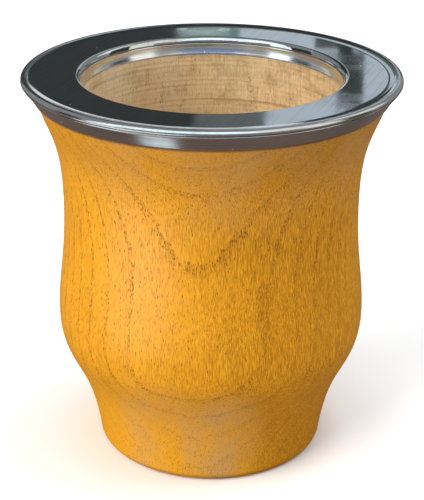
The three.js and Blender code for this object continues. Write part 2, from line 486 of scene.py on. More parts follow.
def wood_tone(finish, grain, wood):
    """Share of the dark colour, from fibres, streaks and clouds, and from the tool's marks and stains, less
    where painted light lightens the foot and the inside's left wall.
    """
    coarseness = FIBRE_SHARE + finish.rise(grain.x, *COARSE_SIDE) * COARSE_SHARE
    fibre_share = coarseness * (1.0 - wood.turning * TURNED_FIBRE_LOSS)
    fibres = finish.rise(grain.fibres, *FIBRE_CONTRAST) * fibre_share
    tone = fibres + grain.streaks * STREAK_SHARE + grain.clouds * CLOUD_SHARE + grain.early * EARLY_SHARE
    tool_marks = finish.rise(grain.tool_marks, *TOOL_MARK_CONTRAST) * TOOL_MARK_SHARE
    stains = finish.rise(grain.stains, *STAIN_CONTRAST) * STAIN_SHARE
    # Painted light on the inside's left wall; the tool's weight keeps it to the bare inside
    painted_inside_light = finish.rise(grain.x, *LIT_INSIDE_SIDE) * LIT_INSIDE_SHARE
    # Painted light on the foot, at the left and in the middle
    painted_foot_light = finish.rise(grain.z, *LIT_FOOT_HEIGHT) * finish.rise(grain.x, *FOOT_RIGHT)
    turned = (tool_marks + stains - painted_inside_light) * wood.turning
    return finish.rise(tone + turned - painted_foot_light * LIT_FOOT_SHARE, *TONE_CONTRAST)


def wood_pores(finish, grain):
    """Share of open pores: vessels in lines along the rings, and pinholes all over."""
    middle = finish.rise(grain.z, *OPEN_LOW) * finish.rise(grain.z, *OPEN_HIGH)
    closed = finish.rise(grain.x, *CLOSED_SIDE) * finish.rise(grain.z, *CLOSED_HEIGHT)
    openness = (middle * OPEN_SHARE + (1.0 - OPEN_SHARE)) * (1.0 - closed * CLOSED_SHARE)
    vessel_share = grain.early * grain.early * EARLY_VESSELS + OTHER_VESSELS
    vessels = finish.rise(grain.vessel, *VESSEL_EDGE) * (grain.vessel_chance < vessel_share) * openness
    pinhole_share = PINHOLES - grain.late * LATE_PINHOLES_LOST
    pinholes = finish.rise(grain.pinhole, *PINHOLE_EDGE) * (grain.pinhole_chance < pinhole_share)
    return vessels + pinholes * (1.0 - vessels) * PINHOLE_SHARE


def painted_light_patches(finish, grain, wood):
    """Share of the colour of painted sheen and painted light, in cloudy patches below the rim and on the
    foot.
    """
    top = finish.rise(grain.z, *LIT_TOP_HEIGHT) * finish.rise(grain.x, *wood.painted_light_side)
    foot_side = finish.rise(grain.x, *LIT_PATCH_FOOT_LEFT) * finish.rise(grain.x, *FOOT_RIGHT)
    foot = finish.rise(grain.z, *LIT_PATCH_FOOT_HEIGHT) * foot_side
    return finish.rise(grain.clouds, *CLOUD_CONTRAST) * (top * LIT_TOP_SHARE + foot * LIT_PATCH_FOOT_SHARE)


def painted_rim_shadow(finish, grain):
    """Share of painted shadow on the outside: a dark line under the skirt's edge, and thinner painted shade
    below it, deeper at the right.
    """
    outside = finish.rise(grain.x * grain.x + grain.y * grain.y, *OUTSIDE_SQUARED)
    rim_shade = SHADE_SHARE + finish.rise(grain.x, *SHADE_SIDE) * SHADE_RIGHT_SHARE
    line = finish.rise(grain.z, *SHADOW_LINE) * SHADOW_LINE_SHARE
    return (line + finish.rise(grain.z, *SHADE_HEIGHT) * rim_shade) * outside


def wood_finish(name, wood, ring_width):
    """Open-pored wood with growth rings, lines of pores and fine fibres along the cup's height."""
    finish = Finish(name)
    grain = Grain(finish, ring_width)
    pores = wood_pores(finish, grain)
    base = finish.blend(wood_tone(finish, grain, wood), wood.light, wood.dark)
    # Painted sheen on the oiled wood and painted light on the bare inside, in cloudy patches
    with_painted_light = finish.blend(painted_light_patches(finish, grain, wood), base, wood.painted_light)
    # Pores darken the wood by their own colour; the rest is painted shadow under the skirt's edge
    pores_and_painted_shadow = pores * PORE_STAIN + painted_rim_shadow(finish, grain) * (1.0 - pores) * SHADOW_STRENGTH
    height = (grain.fibres - 0.5) * FIBRE_RELIEF - pores
    return finish.surface({
        "Base Color": finish.blend(pores_and_painted_shadow, with_painted_light, wood.pore),
        "Roughness": wood.roughness + pores * PORE_ROUGHNESS + (grain.clouds - 0.5) * CLOUD_ROUGHNESS,
        "Normal": finish.bump(height, WOOD_RELIEF),
        "Specular IOR Level": OIL_REFLECTION,
    })


# Direction of the straight grain in the plate's sheet, seen from above, and the squares of the radii in
# millimetres between which the sheet turns from flat to rolled
GRAIN_ANGLE = math.radians(71.0)
ROLLED_SQUARED = (43.0 ** 2, 43.9 ** 2)

# How fine the patterns of the steel are: along x, y and z, and for the bands round and along the axis
MILL_LINE_SCALE = (0.035, 5.5, 1.0)
MILL_BAND_SCALE = (0.012, 0.9, 1.0)
ROUND_SCALE = 1.4
HEIGHT_SCALE = 7.0
RADIUS_SCALE = 3.0
ROLLER_LINE_SCALE = (1.0,) * 3
ROLLER_BAND_SCALE = (1.0, 1.0, 0.2)
SMEAR_SCALE = (0.09,) * 3
SWELL_SCALE = (0.035,) * 3
WAVELET_SCALE = (0.15,) * 3
SPECK_SCALE = (0.45,) * 3

# Shares of the lines, bands and smears in the dull parts of the steel, and their contrast
LINE_SHARE = 0.65
BAND_SHARE = 0.2
SMEAR_SHARE = 0.25
DULL_CONTRAST = (0.48, 0.78)
SMEAR_CONTRAST = (0.45, 0.75)

# Specks of dust: their edge, how many cells hold one, how far they cover the steel, and their height
SPECK_EDGE = (0.07, 0.03)
SPECK_CHANCE = 0.16
SPECK_COVER = 0.8
SPECK_HEIGHT = 3.0
SPECK_ROUGHNESS = 0.5

# Gloss and relief of the steel
LINE_ROUGHNESS = 0.06
SMEAR_ROUGHNESS = 0.05
WAVE_RELIEF = 0.05 * MILLIMETRE
WAVELET_SHARE = 0.12
PLATE_RELIEF = 0.0006 * MILLIMETRE
BAND_RELIEF = 0.0003 * MILLIMETRE


def mill_lines(finish, place):
    """Fine lines that run straight across the sheet up to its rolled hem, as it left the mill."""
    turned = finish.node("ShaderNodeMapping", {}, {"Vector": place, "Rotation": (0.0, 0.0, -GRAIN_ANGLE)})
    fine = finish.noise(turned, MILL_LINE_SCALE, detail=3.0, roughness=0.65)
    broad = finish.noise(turned, MILL_BAND_SCALE)
    x, y = finish.axes(place)[:2]
    rolled = finish.rise(x * x + y * y, *ROLLED_SQUARED)
    return fine * (1.0 - rolled) + rolled * 0.5, broad, rolled


def roller_lines(finish, place):
    """Fine lines that run round the axis, as a band leaves the roller."""
    x, y, z = finish.axes(place)
    radius = (x * x + y * y) ** 0.5
    height = z * HEIGHT_SCALE + radius * RADIUS_SCALE
    round_the_axis = finish.vector(x / radius * ROUND_SCALE, y / radius * ROUND_SCALE, height)
    fine = finish.noise(round_the_axis, ROLLER_LINE_SCALE, detail=3.0, roughness=0.65)
    broad = finish.noise(round_the_axis, ROLLER_BAND_SCALE)
    return fine, broad, 1.0


def steel_finish(name, finishes, lines, relief, light, dark):
    """Polished stainless sheet with fine lines, smears of handling, faint waves and a few specks of dust."""
    finish = Finish(name)
    place = finish.place()
    fine, broad, rolled = lines(finish, place)
    smears = finish.noise(place, SMEAR_SCALE, detail=4.0, roughness=0.6)
    swell = finish.noise(place, SWELL_SCALE, detail=1.0)
    wavelets = finish.noise(place, WAVELET_SCALE)
    speck, speck_chance = finish.cells(place, SPECK_SCALE)
    specks = finish.rise(speck, *SPECK_EDGE) * (speck_chance < SPECK_CHANCE)

    dullness = fine * LINE_SHARE + broad * BAND_SHARE + smears * SMEAR_SHARE
    base = finish.blend(finish.rise(dullness, *DULL_CONTRAST), light, dark)
    smeared = finish.rise(smears, *SMEAR_CONTRAST) * SMEAR_ROUGHNESS
    gloss = finishes.steel_roughness + (fine - 0.5) * LINE_ROUGHNESS + smeared
    waves = finish.bump(swell + wavelets * WAVELET_SHARE, WAVE_RELIEF)
    return finish.surface({
        "Base Color": finish.blend(specks * SPECK_COVER, base, finishes.dust),
        "Metallic": 1.0 - specks * SPECK_COVER,
        "Roughness": gloss + rolled * finishes.rolled_roughness + specks * SPECK_ROUGHNESS,
        "Normal": finish.bump(fine + specks * SPECK_HEIGHT, relief, waves),
    })


# Clouds and bubbles of the cured glue
GLUE_CLOUD_SCALE = (0.3,) * 3
GLUE_CLOUD_CONTRAST = (0.35, 0.7)
BUBBLE_SCALE = (1.1,) * 3
BUBBLE_EDGE = (0.25, 0.15)
BUBBLE_CHANCE = 0.2
BUBBLE_COVER = 0.5
GLUE_ROUGHNESS = 0.22
GLUE_CLOUD_ROUGHNESS = 0.2
GLUE_RELIEF = 0.1 * MILLIMETRE


def glue_finish(finishes):
    """Cured adhesive, clear amber with cloudy patches and small bubbles."""
    finish = Finish("cured_glue")
    place = finish.place()
    clouds = finish.noise(place, GLUE_CLOUD_SCALE, detail=4.0)
    bubble, bubble_chance = finish.cells(place, BUBBLE_SCALE)
    bubbles = finish.rise(bubble, *BUBBLE_EDGE) * (bubble_chance < BUBBLE_CHANCE)
    cloudy = finish.rise(clouds, *GLUE_CLOUD_CONTRAST)
    base = finish.blend(cloudy, finishes.glue_clear, finishes.glue_cloudy)
    return finish.surface({
        "Base Color": finish.blend(bubbles * BUBBLE_COVER, base, finishes.glue_cloudy),
        "Roughness": GLUE_ROUGHNESS + clouds * GLUE_CLOUD_ROUGHNESS,
        "Normal": finish.bump(clouds - bubbles, GLUE_RELIEF),
    })


# Distance within which points of a spun outline are one, the angle past which faces meet in an edge, and the
# angle past which the sheet's cut edges are worn round
MERGE_DISTANCE = 0.001 * MILLIMETRE
SMOOTH_ANGLE = math.radians(35.0)
CUT_EDGE_ANGLE = math.radians(60.0)


def point(radius, height):
    """Point of an outline, on the plane that is spun round the axis."""
    return Vector((radius, 0.0, height))


def oval(centre, across, up, start, end, steps):
    """Oval bend about a centre, between two directions."""
    points = []
    for step in range(steps + 1):
        turn = start + (end - start) * step / steps
        points.append(centre + point(across * math.cos(turn), up * math.sin(turn)))
    return points


def bend(centre, radius, start, end, steps):
    """Round bend about a centre, between two directions."""
    return oval(centre, radius, radius, start, end, steps)


def curve(start, leave, arrive, end, steps):
    """Smooth curve between two points, drawn by the ends of its tangents."""
    points = []
    for step in range(steps + 1):
        way = step / steps
        back = 1.0 - way
        points.append(
            start * back ** 3
            + leave * (3 * back * back * way)
            + arrive * (3 * back * way * way)
            + end * way ** 3
        )
    return points


def deselect_everything():
    """Leave edit mode and select nothing, so that the next operator acts on its own piece alone."""
    if bpy.context.mode != "OBJECT":
        bpy.ops.object.mode_set(mode="OBJECT")
    bpy.ops.object.select_all(action="DESELECT")


def spin_outline(name, outline, turns):
    """Draw an outline point by point from one vertex, and spin it round the cup's axis."""
    deselect_everything()
    bpy.ops.mesh.primitive_plane_add(size=MILLIMETRE, location=(0.0, 0.0, 0.0))
    piece = bpy.context.object
    piece.name = name
    piece.data.name = name
    bpy.ops.object.mode_set(mode="EDIT")
    bpy.ops.mesh.select_all(action="SELECT")
    bpy.ops.mesh.merge(type="CENTER")
    bpy.ops.transform.translate(value=outline[0])
    for before, after in zip(outline, outline[1:]):
        bpy.ops.mesh.extrude_region_move(TRANSFORM_OT_translate={"value": after - before})
    bpy.ops.mesh.select_all(action="SELECT")
    bpy.ops.mesh.spin(steps=turns, angle=2 * math.pi, center=(0.0, 0.0, 0.0), axis=(0.0, 0.0, 1.0))
    bpy.ops.mesh.select_all(action="SELECT")
    bpy.ops.mesh.remove_doubles(threshold=MERGE_DISTANCE)
    bpy.ops.mesh.normals_make_consistent(inside=False)
    bpy.ops.object.mode_set(mode="OBJECT")
    return piece


def apply_modifier(piece, kind, **settings):
    """Change a piece's mesh by a modifier."""
    modifier = piece.modifiers.new(kind.title(), kind)
    for key, setting in settings.items():
        setattr(modifier, key, setting)
    bpy.ops.object.modifier_apply(modifier=modifier.name)


def upward_share(face):
    """How far a face points up."""
    return face.normal.z


def outward_share(face):
    """How far a face points away from the cup's axis."""
    return face.normal.x * face.center.x + face.normal.y * face.center.y


def inward_share(face):
    """How far a face points at the cup's axis."""
    return -outward_share(face)


def form_sheet(name, outline, sizes, shown_share):
    """Spin the face of a sheet that shows, thicken the sheet behind it, and wear its cut edges round."""
    piece = spin_outline(name, outline, sizes.turns)
    if sum(shown_share(face) * face.area for face in piece.data.polygons) < 0:
        bpy.ops.object.mode_set(mode="EDIT")
        bpy.ops.mesh.select_all(action="SELECT")
        bpy.ops.mesh.flip_normals()
        bpy.ops.object.mode_set(mode="OBJECT")
    apply_modifier(piece, "SOLIDIFY", thickness=sizes.sheet, offset=-1.0, use_even_offset=True)
    wear = {"width": sizes.edge_wear, "segments": 2}
    apply_modifier(piece, "BEVEL", **wear, limit_method="ANGLE", angle_limit=CUT_EDGE_ANGLE)
    return piece


def finish_piece(piece, material, node):
    """Smooth a piece, give it its material and fix it to the cup in place of its solid."""
    bpy.ops.object.shade_smooth_by_angle(angle=SMOOTH_ANGLE)
    if not piece.data.materials:
        piece.data.materials.append(material)
    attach(piece, BODY)
    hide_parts(node)


# Steps along the round and curved stretches of the outlines
HEM_STEPS = 18
RAMP_STEPS = 14
MOUTH_STEPS = 12
CURL_STEPS = 8
ROLL_STEPS = 12
COVE_STEPS = 8
RECESS_STEPS = 6
BOWL_STEPS = 60
FOOT_STEPS = 10
BELLY_STEPS = 30
NECK_STEPS = 24
FLARE_STEPS = 24
TOP_EDGE_STEPS = 5

# Tangents of the cup's side for each unit of the rise between two of its heights
FOOT_TANGENT = point(0.14, 1.0) * 0.65
BELLY_LOWER_TANGENT = point(0.0, 0.38)
BELLY_UPPER_TANGENT = point(0.0, 0.3)
NECK_LOWER_TANGENT = point(0.0, 0.475)
NECK_UPPER_TANGENT = point(0.0, 0.63)
FLARE_TANGENT = point(0.3, 1.0) * 0.3

# Tool lines in the bore: points for each line, where the first one starts, the slow wave that makes them
# uneven, and how far they reach inwards at most, as a share of their depth
POINTS_PER_LINE = 4
LINE_START = 0.6
SLOW_WAVE_STEP = 0.37
SLOW_WAVE_SHARE = 0.6
LINE_CREST = -0.4


class Rim:
    """Heights and radii of the rim that follow from its sizes."""

    def __init__(self, sizes):
        self.plate_top = sizes.border_top - sizes.sheet
        self.curl_round = sizes.curl_bend + sizes.sheet
        self.hem_round = self.curl_round + sizes.sheet
        self.mouth_round = sizes.mouth_bend + sizes.sheet
        self.lip_radius = sizes.bore_radius + sizes.mouth_setback
        self.flat_radius = self.lip_radius + self.mouth_round
        self.lip_end = self.plate_top - self.mouth_round - sizes.mouth_lip
        self.lip_ledge = self.lip_end - sizes.lip_clearance
        self.curl_radius = sizes.rim_radius - sizes.sheet - sizes.hem_clearance
        self.collar_seat = sizes.wood_top - sizes.collar_depth
        self.collar_top = self.lip_end - sizes.collar_gap
        foot_sine = math.sin(sizes.collar_foot_lean)
        self.collar_foot = self.collar_seat + sizes.sheet * foot_sine
        drop = self.collar_top - self.collar_foot
        self.cove_round = drop / (foot_sine - math.sin(sizes.collar_top_lean))
        self.cove_centre = point(
            sizes.bore_radius - self.cove_round * math.cos(sizes.collar_foot_lean),
            self.collar_foot + self.cove_round * foot_sine,
        )


def plate_face(sizes):
    """Visible face of the plate, from its rolled hem over the ramp and the flat into the mouth."""
    rim = Rim(sizes)
    hem_centre = point(sizes.rim_radius - rim.hem_round, sizes.border_top - rim.hem_round)
    lip_rise = rim.plate_top - rim.lip_end - rim.mouth_round * (1.0 - math.cos(sizes.mouth_turn))
    lip_reach = lip_rise / math.tan(sizes.mouth_turn) + rim.mouth_round * math.sin(sizes.mouth_turn)
    mouth_centre = point(rim.lip_radius + lip_reach, rim.plate_top - rim.mouth_round)
    hem = bend(hem_centre, rim.hem_round, -sizes.hem_end, UP + sizes.ramp_angle, HEM_STEPS)
    ramp_top = hem[-1]
    ramp_drop = ramp_top.z - rim.plate_top
    ramp_width = 2 * ramp_drop / math.tan(sizes.ramp_angle)
    ramp_foot = point(ramp_top.x - ramp_width, rim.plate_top)
    leave = ramp_top - point(ramp_width / 3, ramp_drop * 2 / 3)
    arrive = ramp_foot + point(ramp_width / 3, 0.0)
    ramp = curve(ramp_top, leave, arrive, ramp_foot, RAMP_STEPS)
    mouth = bend(mouth_centre, rim.mouth_round, UP, UP + sizes.mouth_turn, MOUTH_STEPS)
    flat_start = ramp_foot - point(sizes.edge_hold, 0.0)
    flat_end = mouth[0] + point(sizes.edge_hold, 0.0)
    return [*hem, *ramp[1:], flat_start, flat_end, *mouth, point(rim.lip_radius, rim.lip_end)]


def skirt_face(sizes):
    """Visible face of the skirt, from its free edge up its cone, over a fine roll and into its curl."""
    rim = Rim(sizes)
    centre = point(rim.curl_radius - rim.curl_round, rim.plate_top - rim.curl_round)
    curl = bend(centre, rim.curl_round, -sizes.skirt_angle, sizes.curl_end, CURL_STEPS)
    slope = math.tan(sizes.skirt_angle)
    edge = point(curl[0].x - (curl[0].z - sizes.skirt_edge) * slope, sizes.skirt_edge)
    up = (curl[0] - edge).normalized()
    roll_centre = curl[0] - up * sizes.roll_drop
    roll_start = -sizes.skirt_angle - UP
    roll = bend(roll_centre, sizes.roll_radius, roll_start, roll_start + 2 * UP, ROLL_STEPS)
    held = edge + up * (sizes.edge_wear + sizes.edge_hold)
    return [edge, held, roll[0] - up * sizes.edge_hold, *roll, *curl]


def collar_face(sizes):
    """Visible face of the collar, a shallow cove that faces up into the mouth."""
    rim = Rim(sizes)
    top = -sizes.collar_top_lean
    foot = -sizes.collar_foot_lean
    return bend(rim.cove_centre, rim.cove_round, top, foot, COVE_STEPS)


def collar_recess(sizes):
    """Recess in the wood that the collar stands in, cut to the same cove."""
    rim = Rim(sizes)
    recess_round = rim.cove_round + sizes.sheet + sizes.collar_clearance
    top = math.asin((rim.lip_ledge - rim.cove_centre.z) / recess_round)
    foot = math.asin((rim.collar_seat - rim.cove_centre.z) / recess_round)
    return bend(rim.cove_centre, recess_round, top, foot, RECESS_STEPS)


def bore_outline(sizes):
    """Inside of the cup from the collar down, with the fine lines that the tool left."""
    bowl_top = sizes.floor_height + sizes.bowl_round
    collar_seat = Rim(sizes).collar_seat
    step = sizes.turning_pitch / POINTS_PER_LINE
    points = [point(sizes.bore_radius, collar_seat)]
    for index in range(int((collar_seat - bowl_top) / step)):
        line = math.sin(index * 2 * math.pi / POINTS_PER_LINE + LINE_START)
        swing = line + SLOW_WAVE_SHARE * math.sin(index * SLOW_WAVE_STEP)
        radius = sizes.bore_radius + sizes.turning_depth * max(swing, LINE_CREST)
        points.append(point(radius, collar_seat - step * (index + 1)))
    bowl = oval(point(0.0, bowl_top), sizes.bore_radius, sizes.bowl_round, 0.0, -UP, BOWL_STEPS)
    return [*points, *bowl[1:-1], point(0.0, sizes.floor_height)]


def side(start, start_tangent, end, end_tangent, steps):
    """Stretch of the cup's side between two heights, without its first point."""
    rise = end.z - start.z
    return curve(start, start + start_tangent * rise, end - end_tangent * rise, end, steps)[1:]


def cup_outline(sizes):
    """Whole outline of the cup, from the middle of the foot out, up, over and down into the bowl."""
    rim = Rim(sizes)
    skirt = skirt_face(sizes)
    lean = (skirt[1] - skirt[0]).normalized()
    inward = point(-lean.z, lean.x)
    behind = skirt[0] + inward * (sizes.sheet + sizes.skirt_clearance)
    slope = lean.x / lean.z

    def wood_radius(height):
        """Radius of the wood behind the skirt."""
        return behind.x + (height - behind.z) * slope

    foot_top = point(sizes.foot_radius, sizes.foot_round)
    belly = point(sizes.belly_radius, sizes.belly_height)
    neck = point(sizes.neck_radius, sizes.neck_height)
    flare = point(wood_radius(sizes.skirt_edge), sizes.skirt_edge)
    edge_start = sizes.wood_top - sizes.top_edge_round
    edge_centre = point(wood_radius(edge_start) - sizes.top_edge_round, edge_start)
    foot_centre = point(sizes.foot_radius - sizes.foot_round, sizes.foot_round)
    lip_hole = rim.flat_radius + sizes.lip_clearance

    outside = [
        *bend(foot_centre, sizes.foot_round, -UP, 0.0, FOOT_STEPS),
        *side(foot_top, FOOT_TANGENT, belly, BELLY_LOWER_TANGENT, BELLY_STEPS),
        *side(belly, BELLY_UPPER_TANGENT, neck, NECK_LOWER_TANGENT, NECK_STEPS),
        *side(neck, NECK_UPPER_TANGENT, flare, FLARE_TANGENT, FLARE_STEPS),
        *bend(edge_centre, sizes.top_edge_round, 0.0, UP, TOP_EDGE_STEPS),
        point(lip_hole, sizes.wood_top),
        point(lip_hole, rim.lip_ledge),
        *collar_recess(sizes),
    ]
    return [point(0.0, 0.0), *outside, *bore_outline(sizes)]


# Faces of the bare inside: the lowest one as a share of the height of the bowl's floor, and how far a level
# face may point away from the axis
LOWEST_INSIDE = 0.99
LEVEL_SHARE = 0.001 * MILLIMETRE


class MATECUP_OT_wooden_cup(bpy.types.Operator):
    """Turn the wooden cup, oiled outside and bare inside."""

    bl_idname = "matecup.wooden_cup"
    bl_label = "Wooden cup"

    def execute(self, context):
        sizes = context.scene.cup_sizes
        finishes = context.scene.cup_finishes
        oiled = Wood(
            light=finishes.wood_light,
            dark=finishes.wood_dark,
            pore=finishes.wood_pore,
            painted_light=finishes.wood_sheen,
            roughness=finishes.oil_roughness,
            turning=0.0,
            # Painted sheen below the rim lies at the middle and the right
            painted_light_side=(-36.0, -8.0),
        )
        bare = Wood(
            light=finishes.bare_light,
            dark=finishes.bare_dark,
            pore=finishes.bare_pore,
            painted_light=finishes.bare_painted_light,
            roughness=finishes.bare_roughness,
            turning=0.8,
            # Painted light below the rim lies on the inside's left wall
            painted_light_side=(32.0, -24.0),
        )
        cup = spin_outline("turned_wooden_cup", cup_outline(sizes), sizes.turns)
        oiled_wood = wood_finish("oiled_wood", oiled, finishes.ring_width)
        bare_wood = wood_finish("bare_wood", bare, finishes.ring_width)
        cup.data.materials.append(oiled_wood)
        cup.data.materials.append(bare_wood)
        hole_radius = Rim(sizes).flat_radius + sizes.lip_clearance
        lowest_inside = sizes.floor_height * LOWEST_INSIDE
        for face in cup.data.polygons:
            within_hole = face.center.xy.length < hole_radius
            above_floor = face.center.z > lowest_inside
            if within_hole and above_floor and outward_share(face) < LEVEL_SHARE:
                face.material_index = 1
        finish_piece(cup, oiled_wood, "wooden_cup")
        return {"FINISHED"}


class MATECUP_OT_rim_plate(bpy.types.Operator):
    """Press the top plate of the rim, with its rolled hem, raised border and mouth bend."""

    bl_idname = "matecup.rim_plate"
    bl_label = "Rim plate"

    def execute(self, context):
        sizes = context.scene.cup_sizes
        finishes = context.scene.cup_finishes
        plate = form_sheet("pressed_rim_plate", plate_face(sizes), sizes, upward_share)
        tints = (finishes.steel_light, finishes.steel_dark)
        steel = steel_finish("plate_steel", finishes, mill_lines, PLATE_RELIEF, *tints)
        finish_piece(plate, steel, "rim_plate")
        return {"FINISHED"}


class MATECUP_OT_outer_skirt(bpy.types.Operator):
    """Roll the conical skirt round the outside of the rim."""

    bl_idname = "matecup.outer_skirt"
    bl_label = "Outer skirt"

    def execute(self, context):
        sizes = context.scene.cup_sizes
        finishes = context.scene.cup_finishes
        skirt = form_sheet("rolled_outer_skirt", skirt_face(sizes), sizes, outward_share)
        tints = (finishes.steel_light, finishes.steel_dark)
        steel = steel_finish("skirt_steel", finishes, roller_lines, BAND_RELIEF, *tints)
        finish_piece(skirt, steel, "outer_skirt")
        return {"FINISHED"}


class MATECUP_OT_inner_collar(bpy.types.Operator):
    """Roll the sleeve that lines the mouth."""

    bl_idname = "matecup.inner_collar"
    bl_label = "Inner collar"

    def execute(self, context):
        sizes = context.scene.cup_sizes
        finishes = context.scene.cup_finishes
        collar = form_sheet("rolled_inner_collar", collar_face(sizes), sizes, inward_share)
        # The collar takes the lighter copy of the steel, which is painted light
        tints = (finishes.brightened_collar_light, finishes.brightened_collar_dark)
        steel = steel_finish("collar_steel", finishes, roller_lines, BAND_RELIEF, *tints)
        finish_piece(collar, steel, "inner_collar")
        return {"FINISHED"}


class MATECUP_OT_sealing_glue(bpy.types.Operator):
    """Finish the bed of glue between the wood and the rim."""

    bl_idname = "matecup.sealing_glue"
    bl_label = "Sealing glue"

    def execute(self, context):
        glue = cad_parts["sealing_glue"]
        glue.material_slots[0].material = glue_finish(context.scene.cup_finishes)
        return {"FINISHED"}


# Colours of the lamps
WARM_LIGHT = (1.0, 0.965, 0.9)
COOL_LIGHT = (0.95, 0.98, 1.0)

# Floor and the table that the steel mirrors in its place, in metres
FLOOR_SIZE = 7.0
FLOOR_ROUGHNESS = 0.9
TABLE_RADIUS = 2.0
TABLE_ROUGHNESS = 0.8
TABLE_HEIGHT = 0.0004
PATCH_HEIGHT = 0.0008

# Colour and strength of each kind of studio card
CARD_GLOWS = {
    "dark": ((0.9, 1.0, 0.97), 0.06),
    "grey": ((0.9, 1.0, 1.0), 0.19),
    "pale": ((0.78, 0.9, 1.0), 0.8),
    "teal": ((0.62, 1.0, 0.98), 0.3),
    "bright": ((0.88, 0.97, 1.0), 2.0),
    "blue": ((0.52, 0.66, 1.0), 0.4),
    "white": ((1.0, 1.0, 1.0), 1.0),
    "lamp": ((0.9, 0.98, 1.0), 2.4),
    "cream": ((1.0, 0.98, 0.89), 1.3),
}

# Rows of three cards straight behind the cup, dark at the left and pale at the right: each row's name, the
# glow of its middle card, its lower and upper edges, and the edges of the middle card, all in metres
ROW_DISTANCE = 2.05
ROW_LEFT = -1.3
ROW_RIGHT = 0.8
ROWS_BEHIND = (
    ("low", "teal", 0.0, 0.69, -0.056, 0.047),
    ("high", "grey", 0.69, 1.1, -0.03, 0.095),
    ("top", "dark", 1.1, 2.2, -0.03, 0.095),
)


class Card(NamedTuple):
    """Upright card in metres, with its bearing in degrees round the cup from straight behind it."""

    name: str
    glow: str
    bearing: float
    distance: float
    left: float
    right: float
    low: float
    high: float


CARDS = (
    Card("low_bar_behind", "dark", 0.0, 2.0, 0.175, 0.24, 0.3, 0.64),
    Card("high_bar_behind", "dark", 0.0, 2.0, 0.215, 0.26, 0.64, 0.74),
    Card("low_card_behind", "white", 0.0, 2.03, -0.45, 0.1, 0.2, 0.48),
    Card("low_dark_behind", "dark", 0.0, 2.03, 0.1, 0.8, 0.0, 0.55),
    Card("lamp_behind", "lamp", 0.0, 2.0, -0.06, 0.03, 0.602, 0.6065),
    Card("window_in_front", "bright", 180.0, 2.1, -1.2, 1.2, 1.1, 7.0),
    Card("blue_card_in_front", "blue", 180.0, 2.1, -1.2, 1.2, 0.3, 1.15),
    Card("window_at_left", "bright", 132.0, 2.1, -1.0, 1.0, 0.95, 5.0),
    Card("low_window_at_left", "bright", 112.5, 2.1, -0.48, 0.48, 0.25, 0.95),
    Card("window_at_right", "cream", 236.0, 2.1, -1.1, 1.1, 0.95, 5.0),
    Card("low_window_at_right", "cream", 247.5, 2.1, -0.48, 0.48, 0.25, 0.95),
    Card("window_at_far_right", "cream", 292.0, 2.1, -0.45, 0.45, 0.6, 3.0),
    Card("dark_card_90", "dark", 90.0, 2.05, -0.5, 0.35, 0.0, 1.0),
    Card("dark_card_270", "dark", 270.0, 2.05, -0.5, 0.35, 0.0, 1.0),
)


def floor_material(stage):
    """Floor that looks pale, and throws no more light back at the cup than a table does."""
    finish = Finish("pale_floor")
    camera_ray = finish.node("ShaderNodeLightPath", output="Is Camera Ray")
    seen = camera_ray + camera_ray.part("Is Glossy Ray") + camera_ray.part("Is Transmission Ray")
    tint = finish.blend(seen, stage.bounce_colour, stage.floor_colour)
    return finish.surface({"Base Color": tint, "Roughness": FLOOR_ROUGHNESS})


def glowing_material(name, tint, strength):
    """Card that gives off an even light."""
    finish = Finish(name)
    shader = finish.node("ShaderNodeEmission", {}, {"Color": opaque(tint), "Strength": strength})
    finish.tree.links.new(shader.socket, finish.output.inputs["Surface"])
    return finish.material


def show_in_reflections_only(card):
    """Keep a card out of the picture, and its light off what is not mirrored."""
    card.visible_camera = False
    card.visible_diffuse = False
    card.visible_shadow = False


def studio_card(card, material):
    """Stand one upright card round the cup."""
    turn = math.radians(card.bearing)
    centre = Vector(((card.left + card.right) / 2, card.distance, (card.low + card.high) / 2))
    deselect_everything()
    bpy.ops.mesh.primitive_plane_add(size=1.0, location=Matrix.Rotation(turn, 4, "Z") @ centre)
    plane = bpy.context.object
    plane.name = card.name
    plane.rotation_euler = (UP, 0.0, turn)
    plane.scale = (card.right - card.left, card.high - card.low, 1.0)
    plane.data.materials.append(material)
    show_in_reflections_only(plane)


def table_card(name, material, place, reach, corners):
    """Lay a round card on the floor, which the steel mirrors from below."""
    deselect_everything()
    bpy.ops.mesh.primitive_circle_add(vertices=corners, radius=1.0, fill_type="NGON", location=place)
    disc = bpy.context.object
    disc.name = name
    disc.scale = (*reach, 1.0)
    disc.data.materials.append(material)
    show_in_reflections_only(disc)


def studio_lamp(name, place, aim, width, power, tint):
    """Hang a square lamp that the steel doesn't mirror."""
    deselect_everything()
    bpy.ops.object.light_add(type="AREA", location=place)
    lamp = bpy.context.object
    lamp.name = name
    lamp.rotation_euler = (Vector(aim) - Vector(place)).to_track_quat("-Z", "Y").to_euler()
    lamp.data.shape = "SQUARE"
    lamp.data.size = width
    lamp.data.energy = power
    lamp.data.color = tint
    lamp.visible_glossy = False
    return lamp


def add_floor(stage):
    """Lay the pale floor."""
    deselect_everything()
    bpy.ops.mesh.primitive_plane_add(size=FLOOR_SIZE, location=(0.0, 0.0, 0.0))
    floor = bpy.context.object
    floor.name = "floor"
    floor.data.materials.append(floor_material(stage))


def add_sky(stage):
    """Light the cup evenly from all round."""
    world = bpy.data.worlds.new("studio_light")
    world.use_nodes = True
    sky = world.node_tree.nodes["Background"]
    sky.inputs["Color"].default_value = opaque(stage.sky_colour)
    sky.inputs["Strength"].default_value = stage.sky_strength
    bpy.context.scene.world = world


